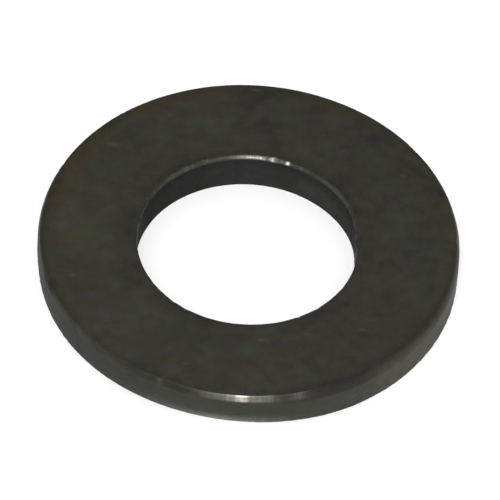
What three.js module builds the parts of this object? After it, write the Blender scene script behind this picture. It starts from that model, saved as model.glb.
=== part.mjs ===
// Flat washer for an M10 bolt: one stamped steel disc with a black oxide finish
// and a plain clearance hole. Millimetres, +Z up. The origin is the centre of
// the hole at the lower face, and +Z runs along the hole.
//
// The washer is one piece of metal. It is the surface of revolution of a closed
// cross-section: flat lower face, small lower edge break, an outer wall that
// leans in a little towards its foot where the blank tore away from the sheet,
// a rolled-over shoulder where the die drew the sheet down, flat upper face,
// and a straight bore whose upper edge is rolled over as well.

import * as THREE from 'three';

// ---- driving dimensions (mm) ------------------------------------------------
const OUTER_D = 20.0;          // outside diameter
const BORE_D = 10.5;           // clearance hole, medium fit for an M10 bolt
const THICKNESS = 2.0;         // sheet thickness

const ROLL_RADIAL = 0.15;      // steep band of the die roll, inwards
const ROLL_AXIAL = 0.28;       // steep band of the die roll, downwards
const ROLL_TAIL = 0.52;        // shallow tail between the band and the flat face
const ROLL_DROP = 0.05;        // how far the tail falls below the flat face
const ROLL_POWER = 1.45;       // 2 is an ellipse, 1 a flat chamfer

const WALL_LEAN = 0.09;        // how far the wall leans in at its foot
const WALL_LEAN_TOP = 1.15;    // the wall is upright above this height
const FOOT_BREAK = 0.13;       // rounding of the lower outer edge

const BORE_ROLL_RADIAL = 0.22; // roll-over of the bore's upper edge, outwards
const BORE_ROLL_AXIAL = 0.16;  // roll-over of the bore's upper edge, downwards
const BORE_TAIL = 0.50;        // shallow tail round the bore
const BORE_DROP = 0.04;        // how far that tail falls below the flat face
const BORE_FOOT_BREAK = 0.06;  // rounding of the bore's lower edge

const SEGMENTS = 96;           // facets round the axis

// ---- cross-section ----------------------------------------------------------
const RADIANS = Math.PI / 180;

// A power of sine or cosine that is exactly 0 at the end of the quarter turn.
const curve = (value, power) => (value < 1e-9 ? 0 : value ** power);

// Adds an arc centred at (cx, cz) from angle a0 to a1, in degrees.
function arc(points, cx, cz, radius, a0, a1, steps) {
  for (let i = 0; i <= steps; i += 1) {
    const t = (a0 + ((a1 - a0) * i) / steps) * RADIANS;
    points.push(new THREE.Vector2(cx + radius * Math.cos(t), cz + radius * Math.sin(t)));
  }
}

function washerSection() {
  const ro = OUTER_D / 2;
  const ri = BORE_D / 2;
  const h = THICKNESS;
  const p = [];
  const add = (r, z) => p.push(new THREE.Vector2(r, z));

  // lower outer edge
  const footR = ro - WALL_LEAN;
  arc(p, footR - FOOT_BREAK, FOOT_BREAK, FOOT_BREAK, -90, -6, 3);

  // outer wall: leaning, then upright
  const start = p[p.length - 1].clone();
  for (const t of [0.3, 0.62, 1]) {
    add(ro - (ro - start.x) * (1 - t) ** 2.4, start.y + (WALL_LEAN_TOP - start.y) * t);
  }

  // die roll: the steep band, then the shallow tail up to the flat face
  for (const deg of [0, 24, 42, 56, 72, 90]) {
    const u = curve(Math.cos(deg * RADIANS), 2 / ROLL_POWER);
    const v = curve(Math.sin(deg * RADIANS), 2 / ROLL_POWER);
    add(ro - ROLL_RADIAL * (1 - u), h - ROLL_DROP - ROLL_AXIAL * (1 - v));
  }
  for (const t of [0.3, 0.6, 1]) {
    add(ro - ROLL_RADIAL - ROLL_TAIL * t, h - ROLL_DROP * (1 - t) ** 2.5);
  }

  // across the flat face to the bore's own tail and roll-over
  const tailR = ri + BORE_ROLL_RADIAL + BORE_TAIL;
  for (const t of [0, 0.55, 1]) {
    add(tailR - BORE_TAIL * t, h - BORE_DROP * t ** 2.5);
  }
  for (const deg of [25, 50, 70, 90]) {
    add(
      ri + BORE_ROLL_RADIAL * (1 - Math.sin(deg * RADIANS)),
      h - BORE_DROP - BORE_ROLL_AXIAL * (1 - curve(Math.cos(deg * RADIANS), 1)),
    );
  }

  // down the bore, round its lower edge, and back along the lower face
  arc(p, ri + BORE_FOOT_BREAK, BORE_FOOT_BREAK, BORE_FOOT_BREAK, 180, 270, 2);
  p.push(p[0].clone());
  return p;
}

// ---- the disc ---------------------------------------------------------------
const discGeometry = new THREE.LatheGeometry(washerSection(), SEGMENTS);
discGeometry.rotateX(Math.PI / 2); // the lathe's own axis is Y; stand it on +Z

const blackenedSteel = new THREE.MeshStandardMaterial({
  name: 'blackened_steel',
  color: new THREE.Color().setRGB(0.042, 0.039, 0.032),
  roughness: 0.5,
  metalness: 0.85,
});

const disc = new THREE.Mesh(discGeometry, blackenedSteel);
disc.name = 'washer_disc';

const washer = new THREE.Group();
washer.name = 'flat_washer';
washer.add(disc);

export default washer;
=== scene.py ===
import math

import bpy
import numpy as np
from mathutils import Matrix, Vector


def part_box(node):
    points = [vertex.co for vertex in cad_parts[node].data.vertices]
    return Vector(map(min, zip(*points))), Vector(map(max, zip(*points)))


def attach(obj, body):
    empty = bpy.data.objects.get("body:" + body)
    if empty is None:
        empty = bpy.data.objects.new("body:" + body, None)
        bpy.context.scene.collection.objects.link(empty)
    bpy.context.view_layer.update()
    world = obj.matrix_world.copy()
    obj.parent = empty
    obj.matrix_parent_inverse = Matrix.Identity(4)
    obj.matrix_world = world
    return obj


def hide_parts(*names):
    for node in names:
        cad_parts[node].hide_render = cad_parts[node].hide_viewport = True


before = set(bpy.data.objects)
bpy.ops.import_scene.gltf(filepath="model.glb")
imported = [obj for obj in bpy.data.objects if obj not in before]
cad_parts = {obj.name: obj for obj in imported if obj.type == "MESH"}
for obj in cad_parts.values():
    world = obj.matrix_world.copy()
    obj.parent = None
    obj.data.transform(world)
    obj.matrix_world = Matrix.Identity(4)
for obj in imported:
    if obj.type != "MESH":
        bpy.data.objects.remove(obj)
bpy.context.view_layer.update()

MM = 0.001
TAU = 2 * math.pi

# ---------------------------------------------------------------------------
# sizes: the disc's radius and thickness are the imported washer's own; the bore is given
# ---------------------------------------------------------------------------
low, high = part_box("washer_disc")
R_OUT = (high[0] - low[0]) / 2 / MM     # 10 mm
THICK = (high[2] - low[2]) / MM         # 2 mm
R_BORE = 5.25

# the die roll on the upper outer edge: a steep band, then a shallow tail
BAND_RADIAL, BAND_AXIAL, BAND_N = 0.125, 0.290, 1.45
BAND_DROP, BAND_TAIL = 0.05, 0.52
# the bore's upper edge
BORE_RADIAL, BORE_AXIAL = 0.22, 0.16
BORE_DROP, BORE_TAIL = 0.04, 0.50
# the lower edges
FOOT, BORE_FOOT = 0.13, 0.06
DRAW_TOP = 1.15                          # the wall draws in below this height

SEG = 640


# ---------------------------------------------------------------------------
# seeded irregularity, so the metal isn't a perfect surface of revolution
# ---------------------------------------------------------------------------
def ring_noise(theta, low_f, high_f, power, seed):
    """Smooth periodic noise round the ring, about -1..1."""
    g = np.random.default_rng(seed)
    out = np.zeros_like(theta)
    for k in range(low_f, high_f + 1):
        a = g.normal() / (k ** power)
        b = g.normal() / (k ** power)
        out += a * np.cos(k * theta) + b * np.sin(k * theta)
    s = np.abs(out).max()
    return out / s if s > 0 else out


def bump(theta, at_deg, half_deg):
    """A smooth hill of height 1 round the ring, centred at at_deg."""
    d = (theta - math.radians(at_deg) + math.pi) % TAU - math.pi
    return np.exp(-(d / math.radians(half_deg)) ** 2)


def smooth(x, a, b):
    t = np.clip((x - a) / (b - a), 0, 1)
    return t * t * (3 - 2 * t)


theta = np.arange(SEG) * TAU / SEG


def torn(z_mm, seed, around_mm, along_mm, count):
    """Grain of torn metal at height z on the wall: many short waves, about -1..1."""
    g = np.random.default_rng(seed)
    out = np.zeros(SEG)
    for _ in range(count):
        k = round(TAU * R_OUT / g.uniform(*around_mm))
        m = TAU / g.uniform(*along_mm) * g.choice((-1, 1))
        out += np.cos(k * theta + m * z_mm + g.uniform(0, TAU))
    return out / math.sqrt(count)


# ---------------------------------------------------------------------------
# the washer's skin: rows of (r, z) round the ring, each row one ring of points
# ---------------------------------------------------------------------------
# zones: 0 lower face, 1 lower outer edge, 2 wall, 3 shoulder, 4 upper face,
#        5 bore's upper edge, 6 bore, 7 bore's lower edge
def rows():
    one = np.ones(SEG)
    ro, ri, h = R_OUT, R_BORE, THICK
    out = []

    def add(r, z, zone, s=0.0):
        out.append((r * one, z * one, zone, s))

    # the wall leans in more on some sides than others, as an uneven die cuts it
    draw = (0.0909 - 0.0408 * np.cos(theta) - 0.0237 * np.sin(theta)
            - 0.0284 * np.cos(2 * theta) + 0.0409 * np.sin(2 * theta)
            + 0.0165 * np.cos(3 * theta) + 0.0287 * np.sin(3 * theta)
            + 0.0140 * np.cos(4 * theta) - 0.0176 * np.sin(4 * theta))
    worn = bump(theta, 238, 15)
    foot = FOOT + 0.20 * worn + 0.02 * ring_noise(theta, 3, 40, 0.6, 11)
    draw = np.maximum(draw - 0.11 * worn - 0.030, 0.0)
    edge = ring_noise(theta, 2, 60, 0.7, 12)
    soft = 0.9 * bump(theta, 318, 30) + 0.45 * bump(theta, 218, 22)
    flat = bump(theta, 270, 55)
    back = bump(theta, 115, 50)
    band_r = BAND_RADIAL * (1 + 0.10 * edge) - 0.030 * back + 0.10 * soft + 0.050 * flat + 0.06 * bump(theta, 342, 26)
    band_a = BAND_AXIAL * (1 + 0.07 * ring_noise(theta, 2, 50, 0.8, 13)) - 0.060 * back + 0.26 * soft + 0.035 * bump(theta, 270, 26) + 0.10 * bump(theta, 298, 14)

    # the shallow tail falls away a little more at the sides
    drop = BAND_DROP + 0.035 * bump(theta, 335, 42) + 0.030 * bump(theta, 185, 30) + 0.022 * bump(theta, 270, 26) + 0.040 * back
    tail = BAND_TAIL + 0.14 * bump(theta, 335, 42) + 0.18 * back

    r_foot = ro - draw
    for i in range(0, 11):
        t = math.radians(-90 + 84 * i / 10)
        add(r_foot - foot + foot * math.cos(t), foot + foot * math.sin(t), 1, i / 10)
    r0, z0 = out[-1][0], out[-1][1]
    n_wall = 20
    for i in range(1, n_wall + 1):
        t = i / n_wall
        add(ro - (ro - r0) * (1 - t) ** 2.4, z0 + (DRAW_TOP - z0) * t, 2, t)
    z_wall = h - drop - band_a
    for i in range(1, 9):
        add(ro, DRAW_TOP + (z_wall - DRAW_TOP) * i / 8, 2, 1 + i / 8)
    for i in range(1, 19):
        t = math.radians(90 * i / 18)
        add(ro - band_r * (1 - max(math.cos(t), 0) ** (2 / BAND_N)),
            z_wall + band_a * max(math.sin(t), 0) ** (2 / BAND_N), 3, i / 18)
    for i in range(1, 11):
        t = i / 10
        add(ro - band_r - tail * t, h - drop * (1 - t) ** 2.5, 4, t)
    r_out = ro - band_r - tail
    b_r = BORE_RADIAL * (1 + 0.10 * ring_noise(theta, 2, 60, 0.7, 14))
    b_a = BORE_AXIAL * (1 + 0.10 * ring_noise(theta, 2, 60, 0.7, 15))
    r_in = ri + b_r + BORE_TAIL
    for i in range(1, 15):
        add(r_out + (r_in - r_out) * i / 14, h, 4, 1.0)
    for i in range(1, 9):
        t = i / 8
        add(r_in - BORE_TAIL * t, h - BORE_DROP * t ** 2.5, 4, 1 - t)
    for i in range(1, 15):
        t = math.radians(90 * i / 14)
        add(ri + b_r * (1 - math.sin(t)),
            h - BORE_DROP - b_a * (1 - math.cos(t)), 5, i / 14)
    z_top = h - BORE_DROP - b_a
    for i in range(1, 17):
        add(ri, z_top + (BORE_FOOT - z_top) * i / 16, 6, i / 16)
    for i in range(1, 6):
        t = math.radians(180 + 90 * i / 5)
        add(ri + BORE_FOOT + BORE_FOOT * math.cos(t),
            BORE_FOOT + BORE_FOOT * math.sin(t), 7, i / 5)
    ra, rb = ri + BORE_FOOT, r_foot - foot
    for i in range(1, 16):
        add(ra + (rb - ra) * i / 16, 0.0, 0, i / 16)
    return out


def build_skin():
    prof = rows()
    n = len(prof)
    Rg = np.array([p[0] for p in prof])
    Zg = np.array([p[1] for p in prof])
    zone = np.array([p[2] for p in prof])
    along = np.array([p[3] for p in prof])
    Tg = np.repeat(theta[None, :], n, 0)

    # small nicks where two surfaces meet: the shoulder and the bore's edge
    g = np.random.default_rng(21)
    nick_o = np.zeros(SEG)
    for _ in range(26):
        nick_o += g.uniform(0.3, 1.0) * bump(theta, g.uniform(0, 360), g.uniform(0.5, 1.6))
    nick_o *= 1 - 0.9 * bump(theta, 256, 5)
    nick_i = np.zeros(SEG)
    for _ in range(22):
        nick_i += g.uniform(0.3, 1.0) * bump(theta, g.uniform(0, 360), g.uniform(0.8, 2.4))
    nick_i += 0.9 * bump(theta, 79, 2.2) + 0.6 * bump(theta, 83.5, 1.2)
    for i in range(n):
        if zone[i] == 3:
            w = math.sin(math.pi * min(along[i] * 1.1, 1.0))
            Rg[i] -= 0.030 * w * np.minimum(nick_o, 1.2)
            Zg[i] -= 0.022 * w * np.minimum(nick_o, 1.2)
        if zone[i] == 5:
            w = math.sin(math.pi * along[i])
            Rg[i] += 0.028 * w * np.minimum(nick_i, 1.2)
            Zg[i] -= 0.022 * w * np.minimum(nick_i, 1.2)

    # the cut wall isn't quite smooth: fine upright ripples, deeper low down
    ripple = ring_noise(theta, 40, 230, 0.15, 31)
    ripple2 = ring_noise(theta, 6, 60, 0.5, 32)
    # the blank sheared cleanly above this line and tore below it
    low_line = 0.66 + 0.10 * ring_noise(theta, 3, 70, 0.6, 42)
    for i in range(n):
        if zone[i] in (1, 2):
            t = along[i] if zone[i] == 2 else 0.0
            low_part = 1 - smooth(np.array(t), 0.35, 1.0)
            Rg[i] -= (0.004 + 0.008 * low_part) * (0.5 + 0.5 * ripple) + 0.006 * (0.5 + 0.5 * ripple2)
            grainy = torn(Zg[i], 51, (0.25, 0.9), (0.25, 1.1), 36)
            edge_t = low_line + 0.05 * torn(Zg[i] * 0.3, 52, (0.5, 3.0), (1.0, 3.0), 12)
            rough_part = 1 - smooth(t - edge_t, -0.08, 0.08)
            Rg[i] -= 0.010 * rough_part * (1 + 0.55 * grainy) * (1.0 if zone[i] == 2 else along[i])
        if zone[i] in (5, 6, 7):
            Rg[i] -= 0.075 * bump(theta, 6, 13)
            Rg[i] -= (0.045 * bump(theta, 353, 6) if zone[i] == 5 else 0.035 * bump(theta, 5, 6))
        if zone[i] == 6:
            Rg[i] += 0.003 * ripple + 0.004 * ring_noise(theta, 6, 60, 0.5, 33)

    # the bore sits a few hundredths off the disc's middle, as punched
    near = np.clip(1 - (Rg - R_BORE) / (R_OUT - R_BORE - 1.2), 0, 1)
    X = Rg * np.cos(Tg) - 0.051 * near
    Y = Rg * np.sin(Tg) - 0.035 * near
    verts = np.stack([X, Y, Zg], -1).reshape(-1, 3) * MM

    i, k = np.meshgrid(np.arange(n), np.arange(SEG), indexing="ij")
    j, l = (i + 1) % n, (k + 1) % SEG
    quads = np.stack([i * SEG + k, i * SEG + l, j * SEG + l, j * SEG + k], -1).reshape(-1, 4)
    me = bpy.data.meshes.new("washer_skin")
    me.from_pydata(verts.tolist(), [], quads.tolist())
    me.polygons.foreach_set("use_smooth", [True] * len(quads))
    slot = np.repeat(np.isin(np.roll(zone, -1), (6, 7)).astype(int)[:, None], SEG, 1)
    me.polygons.foreach_set("material_index", slot.reshape(-1))

    # slope of each point of the section, in degrees from level
    dr = np.roll(Rg, -1, 0) - np.roll(Rg, 1, 0)
    dz = np.roll(Zg, -1, 0) - np.roll(Zg, 1, 0)
    slope = np.degrees(np.arctan2(np.abs(dz), np.abs(dr) + 1e-9))

    # how much each point belongs to the worn edges with their painted highlights, the wall, the bore, the underside
    one = np.ones(SEG)
    wear_and_painted_highlight = np.zeros((n, SEG))
    wall = np.zeros((n, SEG))
    bore = np.zeros((n, SEG))
    under = np.zeros((n, SEG))
    lowcut = np.zeros((n, SEG))
    edge = np.zeros((n, SEG))
    roll_dark_mask = np.zeros((n, SEG))
    # the roll-over is darker and rougher in some places than in others
    roll_dark_amount = (0.35 * smooth(-np.sin(theta), -0.1, 0.4) + 0.34 * bump(theta, 199, 6)
                  - 0.24 * bump(theta, 220, 7) + 0.34 * bump(theta, 250, 8)
                  - 0.35 * bump(theta, 322, 17))
    # where the edges are rubbed bright: one side of the shoulder, and the bore's edge across from it, with a gap
    # beside a nick. They sit where the key light's highlights fall, so they are partly real wear and partly painted
    # highlight and glint
    outer_rub_and_painted_highlight = (0.02 + 2.10 * bump(theta, 270.7, 1.85) + 0.50 * bump(theta, 267.6, 3.0)
                + 0.52 * bump(theta, 275.8, 3.8) + 0.26 * bump(theta, 262.2, 2.6)
                + 0.26 * bump(theta, 286.2, 2.0) + 0.11 * bump(theta, 247.4, 0.9))
    side = np.where(((theta - math.radians(87) + math.pi) % TAU - math.pi) > 0, 10.5, 8.8)
    far = np.degrees(np.abs((theta - math.radians(87) + math.pi) % TAU - math.pi))
    bore_rub_and_painted_highlight = 1.28 * np.exp(-(far / side) ** 2) * (1 - 0.82 * bump(theta, 82.8, 1.8)) \
        * (1 - 0.35 * bump(theta, 77.6, 2.0)) \
        + 4.2 * bump(theta, 71.8, 0.85) + 0.55 * bump(theta, 79.4, 0.75) + 0.10 * bump(theta, 75.0, 1.5) \
        + 0.04 + 0.12 * bump(theta, 64.0, 1.2) + 0.16 * bump(theta, 128, 26) + 0.12 * bump(theta, 40, 20)
    reach = 80.0
    for r in range(n):
        z, a = zone[r], along[r]
        if z in (1, 2):
            wall[r] = 1
            wear_and_painted_highlight[r] = 0.45 * bump(theta, 268, 13) * (1.0 if z == 1 else (1 - smooth(np.array(a), 0.0, 0.55)))
            line = 0.66 + 0.10 * ring_noise(theta, 3, 70, 0.6, 42)
            lowcut[r] = 1.0 if z == 1 else 1 - smooth(a - line, -0.08, 0.08)
        if z == 3:
            wall[r] = 1 - smooth(a * one, 0.0, 0.35 + 0.50 * bump(theta, 322, 20))
            edge[r] = smooth(np.array(a), 0.05, 0.35) * (1 - smooth(np.array(a), 0.80, 1.0))
            roll_dark_mask[r] = edge[r] * roll_dark_amount
            wear_and_painted_highlight[r] = smooth(slope[r], 18, 30) * (1 - smooth(slope[r], reach - 12, reach)) * outer_rub_and_painted_highlight
        if z == 5:
            wear_and_painted_highlight[r] = smooth(slope[r], 10, 22) * (1 - smooth(slope[r], 60, 72)) * bore_rub_and_painted_highlight
            bore[r] = smooth(np.array(a), 0.7, 1.0)
        if z in (6, 7):
            bore[r] = 1
        if z == 0:
            under[r] = 1
    under[zone == 1] = (1 - smooth(along[zone == 1], 0.1, 0.5))[:, None]
    for name, values in (("wear_and_painted_highlight", wear_and_painted_highlight), ("wall", wall), ("bore", bore),
                         ("under", under), ("lowcut", lowcut), ("edge", edge), ("roll_dark_mask", roll_dark_mask)):
        a = me.attributes.new(name, "FLOAT", "POINT")
        a.data.foreach_set("value", values.reshape(-1).astype(np.float32))
    me.update()
    ob = bpy.data.objects.new("washer_skin", me)
    bpy.context.scene.collection.objects.link(ob)
    return ob


skin = build_skin()


# ---------------------------------------------------------------------------
# material: oiled black oxide on steel, one shader over the whole washer
# ---------------------------------------------------------------------------
class Graph:
    def __init__(self, name):
        self.mat = bpy.data.materials.new(name)
        self.mat.use_nodes = True
        self.nt = self.mat.node_tree
        self.bsdf = self.nt.nodes["Principled BSDF"]

    def put(self, socket, value):
        if isinstance(value, bpy.types.NodeSocket):
            self.nt.links.new(value, socket)
        elif value is not None:
            socket.default_value = value

    def math(self, op, a, b=None, c=None, clamp=False):
        n = self.nt.nodes.new("ShaderNodeMath")
        n.operation = op
        n.use_clamp = clamp
        for s, v in zip(n.inputs, (a, b, c)):
            self.put(s, v)
        return n.outputs[0]

    def vec(self, op, a, b=None, scale=None):
        n = self.nt.nodes.new("ShaderNodeVectorMath")
        n.operation = op
        self.put(n.inputs[0], a)
        if b is not None:
            self.put(n.inputs[1], b)
        if scale is not None:
            self.put(n.inputs["Scale"], scale)
        return n.outputs["Value"] if op in ("DISTANCE", "LENGTH", "DOT_PRODUCT") else n.outputs[0]

    def xyz(self, x, y, z):
        n = self.nt.nodes.new("ShaderNodeCombineXYZ")
        for s, v in zip(n.inputs, (x, y, z)):
            self.put(s, v)
        return n.outputs[0]

    def noise(self, vector, scale, detail=2.0, rough=0.5, distortion=0.0):
        n = self.nt.nodes.new("ShaderNodeTexNoise")
        n.noise_dimensions = "3D"
        self.put(n.inputs["Vector"], vector)
        n.inputs["Scale"].default_value = scale
        n.inputs["Detail"].default_value = detail
        n.inputs["Roughness"].default_value = rough
        n.inputs["Distortion"].default_value = distortion
        return n.outputs[0]

    def cells(self, vector, scale, randomness=1.0):
        n = self.nt.nodes.new("ShaderNodeTexVoronoi")
        self.put(n.inputs["Vector"], vector)
        n.inputs["Scale"].default_value = scale
        n.inputs["Randomness"].default_value = randomness
        return n.outputs["Distance"]

    def span(self, value, a, b, lo=0.0, hi=1.0, soft=True):
        n = self.nt.nodes.new("ShaderNodeMapRange")
        n.interpolation_type = "SMOOTHSTEP" if soft else "LINEAR"
        n.clamp = True
        self.put(n.inputs["Value"], value)
        for name, v in (("From Min", a), ("From Max", b), ("To Min", lo), ("To Max", hi)):
            self.put(n.inputs[name], v)
        return n.outputs["Result"]

    def mix(self, fac, a, b):
        n = self.nt.nodes.new("ShaderNodeMix")
        n.data_type = "RGBA"
        n.clamp_factor = True
        self.put(n.inputs["Factor"], fac)
        for s, v in ((n.inputs[6], a), (n.inputs[7], b)):
            if isinstance(v, tuple):
                v = (*v, 1.0)
            self.put(s, v)
        return n.outputs[2]

    def mixf(self, fac, a, b):
        n = self.nt.nodes.new("ShaderNodeMix")
        n.data_type = "FLOAT"
        n.clamp_factor = True
        self.put(n.inputs["Factor"], fac)
        self.put(n.inputs[2], a)
        self.put(n.inputs[3], b)
        return n.outputs[0]

    def attr(self, name):
        n = self.nt.nodes.new("ShaderNodeAttribute")
        n.attribute_type = "GEOMETRY"
        n.attribute_name = name
        return n.outputs["Fac"]

    def bump(self, height, distance_mm, normal=None):
        n = self.nt.nodes.new("ShaderNodeBump")
        n.inputs["Strength"].default_value = 1.0
        n.inputs["Distance"].default_value = distance_mm * MM
        self.put(n.inputs["Height"], height)
        if normal is not None:
            self.put(n.inputs["Normal"], normal)
        return n.outputs[0]


def oxide_material(name, specular):
    g = Graph(name)
    tc = g.nt.nodes.new("ShaderNodeTexCoord")
    P = g.vec("SCALE", tc.outputs["Object"], scale=1000.0)       # in mm
    sep = g.nt.nodes.new("ShaderNodeSeparateXYZ")
    g.put(sep.inputs[0], P)
    x, y, z = sep.outputs
    r = g.math("SQRT", g.math("ADD", g.math("MULTIPLY", x, x), g.math("MULTIPLY", y, y)))
    ux, uy = g.math("DIVIDE", x, r), g.math("DIVIDE", y, r)

    wear_and_painted_highlight, wall, bore = g.attr("wear_and_painted_highlight"), g.attr("wall"), g.attr("bore")
    under, lowcut, edge, roll_dark_mask = g.attr("under"), g.attr("lowcut"), g.attr("edge"), g.attr("roll_dark_mask")

    # ---- colour of the oxide: mottled olive, brown and grey
    broad = g.noise(P, 0.33, 2.0, 0.5)
    blotch = g.noise(g.vec("ADD", P, (7.3, 1.9, 4.4)), 0.95, 3.0, 0.55, 0.3)
    patch = g.noise(g.vec("ADD", P, (3.1, 9.2, 0.7)), 1.9, 2.0, 0.5)
    grain = g.noise(P, 9.0, 2.0, 0.6)
    olive, brown, grey = (0.0106, 0.0116, 0.0016), (0.0158, 0.0095, 0.0031), (0.0094, 0.0098, 0.0076)
    col = g.mix(g.span(blotch, 0.38, 0.62), olive, brown)
    col = g.mix(g.span(patch, 0.44, 0.66, 0.0, 0.85), col, grey)
    # brown near the bore on the left, and on the roll at the right front
    uxx = g.math("MULTIPLY", ux, ux)
    ring = g.math("MULTIPLY", g.span(r, 5.5, 7.0, 1.0, 0.0), uxx)
    left = g.span(ux, -0.2, -0.9)
    right = g.math("MULTIPLY", g.span(ux, 0.35, 0.9), g.span(r, 9.35, 9.75))
    right = g.math("MULTIPLY", right, g.span(z, 1.55, 1.88))
    col = g.mix(g.math("MULTIPLY", ring, g.math("MULTIPLY", left, 0.8)), col, (0.0165, 0.0110, 0.0040))
    col = g.mix(g.math("MULTIPLY", ring, g.span(ux, 0.4, 0.8, 0.0, 0.7)), col, (0.0165, 0.0118, 0.0036))
    col = g.mix(g.math("MULTIPLY", right, 0.7), col, (0.0128, 0.0086, 0.0032))
    # browner towards the rim round the back, greyer on the front's roll-over
    at_rim = g.math("MULTIPLY", g.span(r, 8.80, 9.70), g.span(uy, -0.25, 0.20))
    col = g.mix(g.math("MULTIPLY", at_rim, 0.9), col,
                g.mix(g.span(ux, 0.45, 0.85), (0.0165, 0.0112, 0.0001), (0.0198, 0.0148, 0.0026)))
    at_front = g.math("MULTIPLY", g.span(r, 9.35, 9.68), g.span(uy, -0.35, -0.75))
    at_front = g.math("MULTIPLY", at_front, g.span(z, 1.84, 1.92))
    col = g.mix(g.math("MULTIPLY", at_front, 0.85), col, (0.0128, 0.0122, 0.0095))
    # the wall and bore are cooler. The wall's colour also carries painted light and reflection: darker on its left,
    # lighter on its right, at the front and low down
    wall_col_with_painted_light = g.mix(g.span(ux, -0.8, 0.8), (0.0040, 0.0044, 0.0020), (0.0115, 0.0112, 0.0070))
    wall_col_with_painted_light = g.mix(g.span(g.math("ABSOLUTE", g.math("ADD", ux, 0.20)), 0.24, 0.0, 0.0, 0.6), wall_col_with_painted_light, (0.0125, 0.0124, 0.0086))
    wall_col_with_painted_light = g.mix(g.span(ux, 0.45, 0.85), wall_col_with_painted_light, (0.0200, 0.0184, 0.0088))
    painted_low_wall_light = g.mix(g.span(ux, 0.45, 0.85), (0.0165, 0.0162, 0.0118), (0.0320, 0.0300, 0.0180))
    wall_col_with_painted_light = g.mix(g.math("MULTIPLY", g.span(z, 1.10, 0.50), g.span(ux, -0.75, -0.35, 0.1, 0.55)), wall_col_with_painted_light, painted_low_wall_light)
    wall_col_with_painted_light = g.vec("SCALE", wall_col_with_painted_light, scale=g.span(ux, -0.40, 0.40, 1.13, 1.0))
    col = g.mix(wall, col, wall_col_with_painted_light)
    # the bore is darker towards its top
    bore_col = g.mix(g.span(z, 1.15, 1.60), (0.0262, 0.0254, 0.0246), (0.0200, 0.0200, 0.0204))
    # painted light and shade: the bore's brightness is scaled round the ring and with height, for how light falls in
    # it
    light = g.math("ADD", g.span(ux, -0.98, -0.80, 0.34, 0.68), g.span(ux, -0.55, -0.30, 0.0, 0.05))
    light = g.math("ADD", light, g.span(ux, 0.35, 0.55, 0.0, 0.16))
    light = g.math("SUBTRACT", light, g.span(ux, 0.84, 0.95, 0.0, 0.48))
    light = g.math("MULTIPLY", light, g.mixf(g.span(ux, 0.25, 0.50), 1.0, g.span(z, 0.7, 1.5, 1.12, 0.85)))
    bore_col = g.vec("SCALE", bore_col, scale=light)
    col = g.mix(bore, col, bore_col)
    # the roll is darker and browner on the right of the front
    roll = g.math("MULTIPLY", g.span(r, 9.64, 9.88), g.span(z, 1.28, 1.50))
    roll = g.math("MULTIPLY", roll, g.math("MULTIPLY", g.span(ux, 0.10, 0.32), g.span(ux, 0.68, 0.52)))
    roll = g.math("MULTIPLY", roll, g.span(uy, 0.0, -0.2))
    col = g.mix(g.math("MULTIPLY", roll, 0.85), col, (0.0048, 0.0026, 0.0012))
    col = g.mix(under, col, (0.0125, 0.0118, 0.0085))
    for (px, py, pr, colour, amount) in ((-8.9, 0.5, 1.1, (0.0185, 0.0140, 0.0115), 0.75),
                                         (-0.6, 8.3, 1.9, (0.0128, 0.0090, 0.0038), 0.60),
                                         (0.4, -8.4, 1.7, (0.0138, 0.0098, 0.0044), 0.50),
                                         (1.9, -8.4, 1.3, (0.0080, 0.0078, 0.0040), 0.65),
                                         (4.6, -5.9, 2.3, (0.0088, 0.0084, 0.0038), 0.55),
                                         (-6.4, -5.9, 1.9, (0.0150, 0.0138, 0.0072), 0.65),
                                         (7.9, 0.1, 1.2, (0.0090, 0.0090, 0.0072), 0.60),
                                         (-6.0, -2.6, 1.5, (0.0122, 0.0112, 0.0052), 0.45),
                                         (3.4, -7.2, 1.2, (0.0128, 0.0100, 0.0044), 0.40)):
        wob = g.math("ADD", g.vec("DISTANCE", P, (px, py, 2.0)), g.span(patch, 0.3, 0.7, -0.45, 0.45))
        col = g.mix(g.math("MULTIPLY", g.span(wob, pr, pr * 0.3), amount), col, colour)
    tone = g.math("ADD", g.span(broad, 0.3, 0.7, -0.20, 0.20),
                  g.math("ADD", g.span(blotch, 0.3, 0.7, 0.20, -0.20),
                         g.math("ADD", g.span(patch, 0.3, 0.7, -0.20, 0.20),
                                g.span(grain, 0.3, 0.7, -0.18, 0.18))))
    tone = g.math("ADD", tone, 1.0)
    # lighter towards the left and the front
    tone = g.math("ADD", tone, g.math("ADD", g.math("MULTIPLY", x, -0.020), g.math("MULTIPLY", y, -0.018)))
    # painted shade: the face round the bore is darkened at its left and right, for the darker reflection off the
    # tilted edge there
    tone = g.math("SUBTRACT", tone, g.math("MULTIPLY", ring, g.span(ux, -0.4, 0.4, 0.55, 0.30)))
    lip = g.math("MULTIPLY", g.span(r, 5.80, 6.50, 1.0, 0.0), g.span(uy, -0.30, -0.65))
    lip = g.math("MULTIPLY", lip, g.span(g.math("ABSOLUTE", ux), 0.12, 0.40))
    tone = g.math("SUBTRACT", tone, g.math("MULTIPLY", lip, 0.40))
    tone = g.math("SUBTRACT", tone, roll_dark_mask)
    tone = g.mixf(bore, tone, g.math("ADD", g.math("MULTIPLY", tone, 0.35), 0.65))
    # painted shade: the rim at the left is darkened, for the darker reflection off its roll-over
    rim = g.math("MULTIPLY", g.span(r, 9.30, 9.85), g.math("MULTIPLY", g.span(ux, -0.3, -0.8), g.span(z, 1.70, 1.85)))
    rim = g.math("MULTIPLY", rim, g.span(uy, -0.50, 0.05))
    tone = g.math("SUBTRACT", tone, g.math("MULTIPLY", rim, 0.30))
    col = g.vec("SCALE", col, scale=tone)
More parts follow.
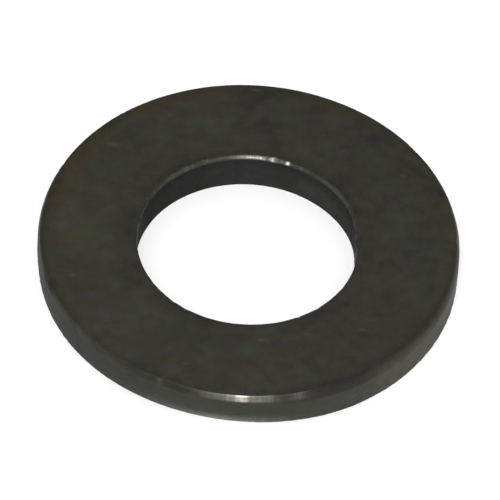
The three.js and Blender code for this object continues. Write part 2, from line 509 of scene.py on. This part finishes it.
    # pale flecks: soft, a little longer one way than the other
    flecks = None
    wide = g.vec("MULTIPLY", P, (0.45, 1.0, 1.0))
    for (px, py, pr, amount) in ((-6.72, 5.47, 0.24, 0.60), (-0.15, 9.55, 0.15, 0.60), (0.96, -6.33, 0.20, 0.85),
                                 (5.58, -5.32, 0.16, 0.55), (-2.60, -8.10, 0.12, 0.45), (7.10, 4.60, 0.12, 0.45),
                                 (-8.20, -3.00, 0.14, 0.40), (3.30, 6.90, 0.10, 0.40), (-4.10, 7.60, 0.11, 0.40),
                                 (3.05, -5.80, 0.16, 0.35)):
        d = g.vec("DISTANCE", wide, (px * 0.45, py, 2.0))
        d = g.math("ADD", d, g.span(grain, 0.3, 0.7, -0.03, 0.03))
        spot = g.span(d, pr, 0.0, 0.0, amount)
        flecks = spot if flecks is None else g.math("MAXIMUM", flecks, spot)
    # and fine dust-like flecks everywhere
    dust = g.span(g.cells(g.vec("ADD", P, (2.7, 5.1, 8.3)), 1.5), 0.055, 0.03)
    dust = g.math("MULTIPLY", dust, g.span(broad, 0.45, 0.6))
    flecks = g.math("MAXIMUM", flecks, g.math("MULTIPLY", dust, 0.45))
    col = g.mix(flecks, col, (0.036, 0.034, 0.028))
    # worn edges show the steel through, in a pale colour that also paints the highlights and glints where the key
    # light falls
    speck = g.noise(P, 5.5, 3.0, 0.65)
    # rubbing leaves short streaks across the edge
    streak = g.noise(g.xyz(g.math("MULTIPLY", ux, 52.0), g.math("MULTIPLY", uy, 52.0),
                           g.math("MULTIPLY", z, 1.0)), 1.0, 2.0, 0.55)
    rub = g.math("ADD", g.math("MULTIPLY", speck, 0.45), g.math("MULTIPLY", streak, 0.55))
    worn = g.math("MULTIPLY", wear_and_painted_highlight, g.span(rub, 0.38, 0.62, 0.115, 0.225))
    bare_steel_and_painted_highlight = g.mix(g.span(wear_and_painted_highlight, 1.9, 3.2), (0.31, 0.30, 0.27), (0.66, 0.65, 0.62))
    col = g.mix(g.math("MULTIPLY", worn, 3.0, clamp=True), col, bare_steel_and_painted_highlight)

    # ---- roughness
    rough = g.math("ADD", 0.36, g.span(blotch, 0.3, 0.7, -0.04, 0.05))
    rough = g.math("ADD", rough, g.span(grain, 0.3, 0.7, -0.04, 0.04))
    rough = g.mixf(at_rim, rough, g.span(ux, 0.50, 0.80, 0.57, 0.47))
    rough = g.mixf(wall, rough, g.math("ADD", g.span(ux, -0.35, -0.90, 0.58, 0.67), g.span(grain, 0.3, 0.7, -0.05, 0.05)))
    rough = g.mixf(g.math("MULTIPLY", lowcut, 0.8), rough, g.span(ux, -0.35, -0.90, 0.62, 0.72))
    rough = g.mixf(edge, rough, g.math("ADD", g.span(roll_dark_mask, 0.36, 0.70, 0.52, 0.80), g.span(grain, 0.3, 0.7, -0.04, 0.04)))
    rough = g.mixf(bore, rough, 0.56)
    rough = g.mixf(wear_and_painted_highlight, rough, g.span(rub, 0.35, 0.65, 0.28, 0.20))

    # ---- fine relief
    nrm = g.bump(g.noise(P, 1.6, 3.0, 0.55), 0.012)
    nrm = g.bump(g.noise(P, 7.0, 3.0, 0.6), 0.0035, nrm)
    # upright cut marks on the wall and in the bore
    lines = g.noise(g.xyz(g.math("MULTIPLY", ux, 60.0), g.math("MULTIPLY", uy, 60.0),
                          g.math("MULTIPLY", z, 0.6)), 1.0, 3.0, 0.6)
    sides = g.math("MULTIPLY", lines, g.math("MAXIMUM", wall, g.math("MULTIPLY", bore, 0.55)))
    nrm = g.bump(sides, 0.010, nrm)
    cut = g.math("MULTIPLY", g.noise(P, 3.4, 4.0, 0.65), lowcut)
    nrm = g.bump(cut, 0.02, nrm)

    b = g.bsdf
    g.put(b.inputs["Base Color"], col)
    g.put(b.inputs["Metallic"], g.math("MINIMUM", worn, 0.42))
    g.put(b.inputs["Roughness"], rough)
    g.put(b.inputs["Normal"], nrm)
    b.inputs["Specular IOR Level"].default_value = specular
    return g.mat


skin.data.materials.append(oxide_material("black_oxide", 0.35))
skin.data.materials.append(oxide_material("black_oxide_bore", 0.018))

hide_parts("washer_disc")
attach(skin, "root")

# ---------------------------------------------------------------------------
# floor
# ---------------------------------------------------------------------------
fm = bpy.data.meshes.new("floor")
S = 3.0
fm.from_pydata([(-S, -S, 0), (S, -S, 0), (S, S, 0), (-S, S, 0)], [], [(0, 1, 2, 3)])
floor = bpy.data.objects.new("floor", fm)
floor.location = (0, 0, -0.00002)
bpy.context.scene.collection.objects.link(floor)
fmat = bpy.data.materials.new("floor_pale")
fmat.use_nodes = True
b = fmat.node_tree.nodes["Principled BSDF"]
b.inputs["Base Color"].default_value = (0.98, 0.98, 0.98, 1)
b.inputs["Roughness"].default_value = 0.9
b.inputs["Specular IOR Level"].default_value = 0.0
fm.materials.append(fmat)

# ---------------------------------------------------------------------------
# camera
# ---------------------------------------------------------------------------
ELEV, ROLL, DIST, SCALE = math.radians(48.23), math.radians(3.56), 80.0, 210.894
SHIFT_X, SHIFT_Y = -0.01268, 0.07945
right = np.array([1.0, 0, 0])
fwd = np.array([0, math.cos(ELEV), -math.sin(ELEV)])
up = np.array([0, math.sin(ELEV), math.cos(ELEV)])
r2 = math.cos(ROLL) * right + math.sin(ROLL) * up
u2 = -math.sin(ROLL) * right + math.cos(ROLL) * up
Rm = np.stack([r2, -u2, fwd])
T = np.array([SHIFT_X, SHIFT_Y, DIST])
loc = -Rm.T @ T * R_OUT * MM
cam_data = bpy.data.cameras.new("camera")
cam_data.sensor_width = 36.0
cam_data.lens = SCALE * DIST / 500.0 * 36.0
cam_data.clip_start = 0.01
cam_data.clip_end = 20
cam = bpy.data.objects.new("camera", cam_data)
M = Matrix.Identity(4)
for i in range(3):
    M[i][0], M[i][1], M[i][2] = float(r2[i]), float(u2[i]), float(-fwd[i])
    M[i][3] = float(loc[i])
cam.matrix_world = M
bpy.context.scene.collection.objects.link(cam)
bpy.context.scene.camera = cam

# ---------------------------------------------------------------------------
# light
# ---------------------------------------------------------------------------
world = bpy.data.worlds.new("studio")
bpy.context.scene.world = world
world.use_nodes = True
world.node_tree.nodes["Background"].inputs[0].default_value = (1, 1, 1, 1)
world.node_tree.nodes["Background"].inputs[1].default_value = 0.40


def sph(az, el):
    """Azimuth 0 = behind the object (+Y), 180 = the camera's side."""
    a, e = math.radians(az), math.radians(el)
    return Vector((math.sin(a) * math.cos(e), math.cos(a) * math.cos(e), math.sin(e)))


def softbox(name, az, el, dist, half_az, low, high, radiance):
    """A rectangular light square to az, el: seen over +-half_az degrees, from low to high degrees about el."""
    w = 2 * dist * math.tan(math.radians(half_az))
    below, above = dist * math.tan(math.radians(low)), dist * math.tan(math.radians(high))
    t = above - below
    ld = bpy.data.lights.new(name, "AREA")
    ld.shape = "RECTANGLE"
    ld.size, ld.size_y = w, t
    ld.energy = radiance * math.pi * w * t
    lo = bpy.data.objects.new(name, ld)
    d = sph(az, el)
    turn = d.to_track_quat("Z", "Y")
    lo.location = d * dist + turn @ Vector((0, (below + above) / 2, 0))
    lo.rotation_euler = turn.to_euler()
    bpy.context.scene.collection.objects.link(lo)
    return lo


softbox("back_soft", 0, 47, 1.2, 24, -13, 13, 0.55)
# The key is split twice. Most of it casts no shadow, which leaves the floor clean, and a little of it
# grounds the part. Its lowest part isn't mirrored, so the upper face doesn't burn out from behind.
for name, radiance, shadow in (("front_key", 8.7, False), ("front_key_shadow", 2.1, True)):
    for part, low, high in (("_upper", -8, 36), ("_lower", -36, -8)):
        key = softbox(name + part, 186, 38, 1.2, 10, low, high, radiance)
        key.data.use_shadow = shadow
        key.visible_glossy = part == "_upper"

vs = bpy.context.scene.view_settings
vs.view_transform = "Standard"
vs.look = "None"
vs.exposure = 0.0
vs.gamma = 1.0
